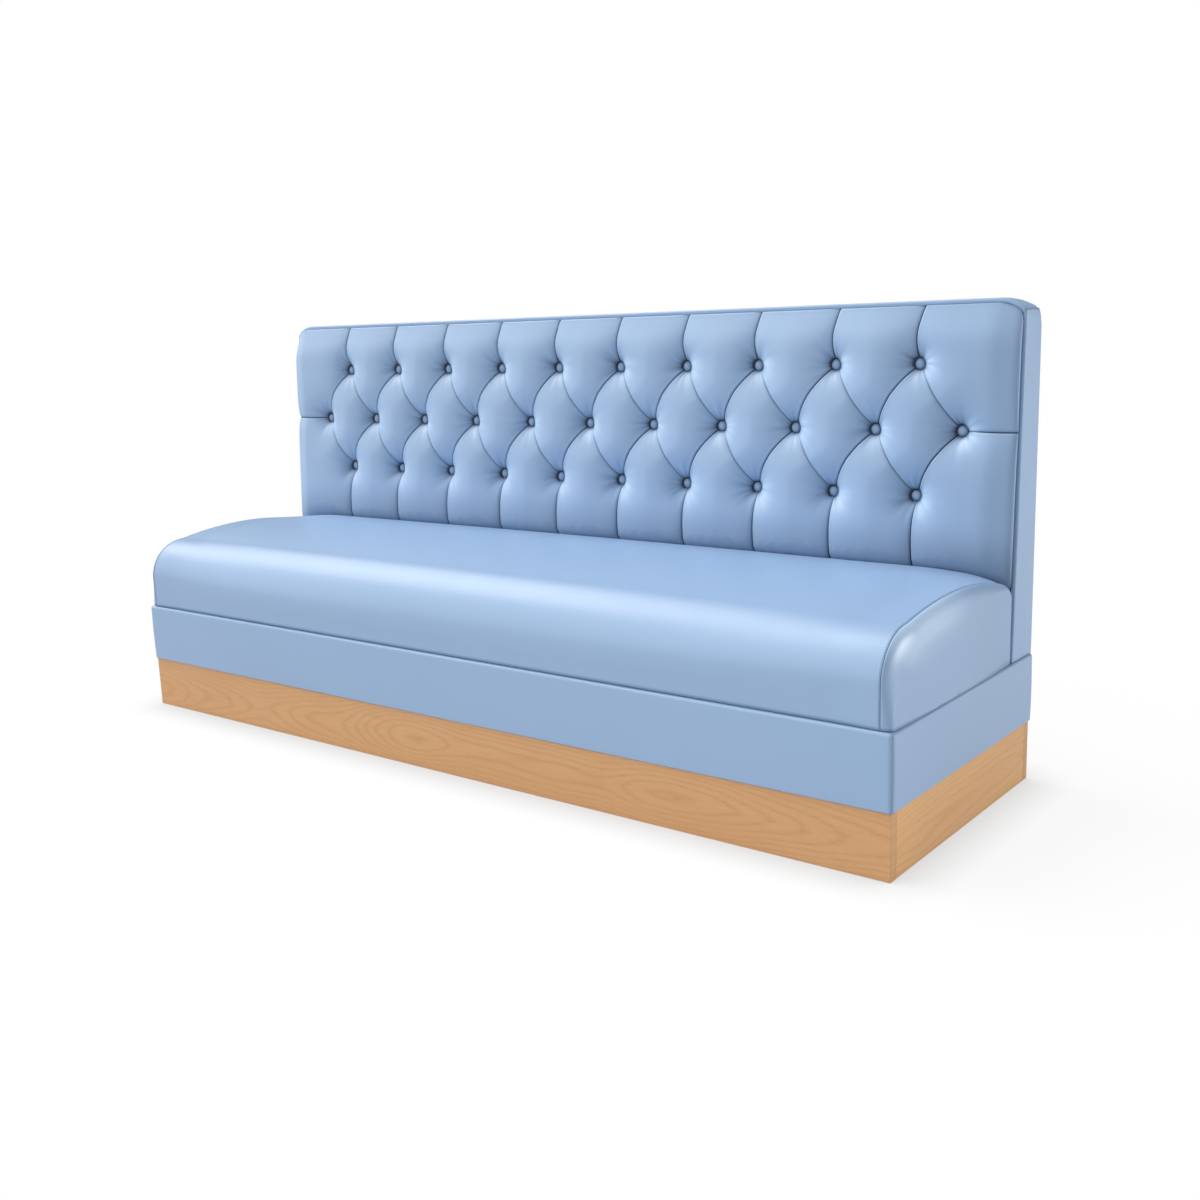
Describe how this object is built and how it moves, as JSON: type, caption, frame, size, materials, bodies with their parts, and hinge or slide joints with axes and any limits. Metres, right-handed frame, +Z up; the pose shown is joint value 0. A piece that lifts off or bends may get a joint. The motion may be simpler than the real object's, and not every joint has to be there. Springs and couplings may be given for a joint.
{
  "type": "upholstered banquette bench",
  "caption": "Long upholstered bench with a crowned seat, a deep-buttoned diamond back, an upholstered base band and a timber plinth.",
  "frame": {"origin": "middle of the footprint, on the floor", "axes": "+X along the bench, +Y to the back, +Z up"},
  "size_m": [2.1098, 0.6398, 0.968],
  "materials": {
    "vinyl": "satin faux leather with a fine grain",
    "veneer": "clear satin lacquer on a pale veneer",
    "plywood": "sanded",
    "softwood": "planed",
    "hardboard": "smooth pressed face",
    "foam": "open-cell foam",
    "under_cloth": "black non-woven cloth",
    "twine": "waxed",
    "steel": "zinc plated"
  },
  "bodies": {
    "root": {"plinth_front_board": "veneer", "plinth_rear_board": "veneer", "plinth_left_board": "veneer", "plinth_right_board": "veneer", "plinth_cross_rails": "plywood", "plinth_corner_blocks": "softwood", "plinth_block_screws": "steel", "base_front_rail": "plywood", "base_rear_rail": "plywood", "base_left_rail": "plywood", "base_right_rail": "plywood", "base_cross_members": "plywood", "base_corner_blocks": "softwood", "base_block_screws": "steel", "base_deck": "plywood", "base_deck_screws": "steel", "base_bolts": "steel", "base_nuts": "steel", "band_front_foam": "foam", "band_rear_foam": "foam", "band_left_foam": "foam", "band_right_foam": "foam", "band_front_cover": "vinyl", "band_rear_cover": "vinyl", "band_left_cover": "vinyl", "band_right_cover": "vinyl", "seat_board_panel": "plywood", "seat_foam": "foam", "seat_cover": "vinyl", "seat_left_end": "vinyl", "seat_right_end": "vinyl", "seat_bottom_cloth": "under_cloth", "seat_bolts": "steel", "seat_washers": "steel", "seat_nuts": "steel", "back_bottom_rail": "plywood", "back_top_rail": "plywood", "back_left_stile": "plywood", "back_right_stile": "plywood", "back_uprights": "plywood", "back_button_board": "plywood", "back_foam": "foam", "back_tufted_cover": "vinyl", "back_buttons": "vinyl", "back_twines": "twine", "back_tie_discs": "steel", "back_left_border_board": "hardboard", "back_right_border_board": "hardboard", "back_top_border_board": "hardboard", "back_left_border": "vinyl", "back_right_border": "vinyl", "back_top_border": "vinyl", "back_rear_board": "hardboard", "back_rear_cover": "vinyl", "back_bolts": "steel", "back_washers": "steel", "back_nuts": "steel"}
  },
  "joints": []
}
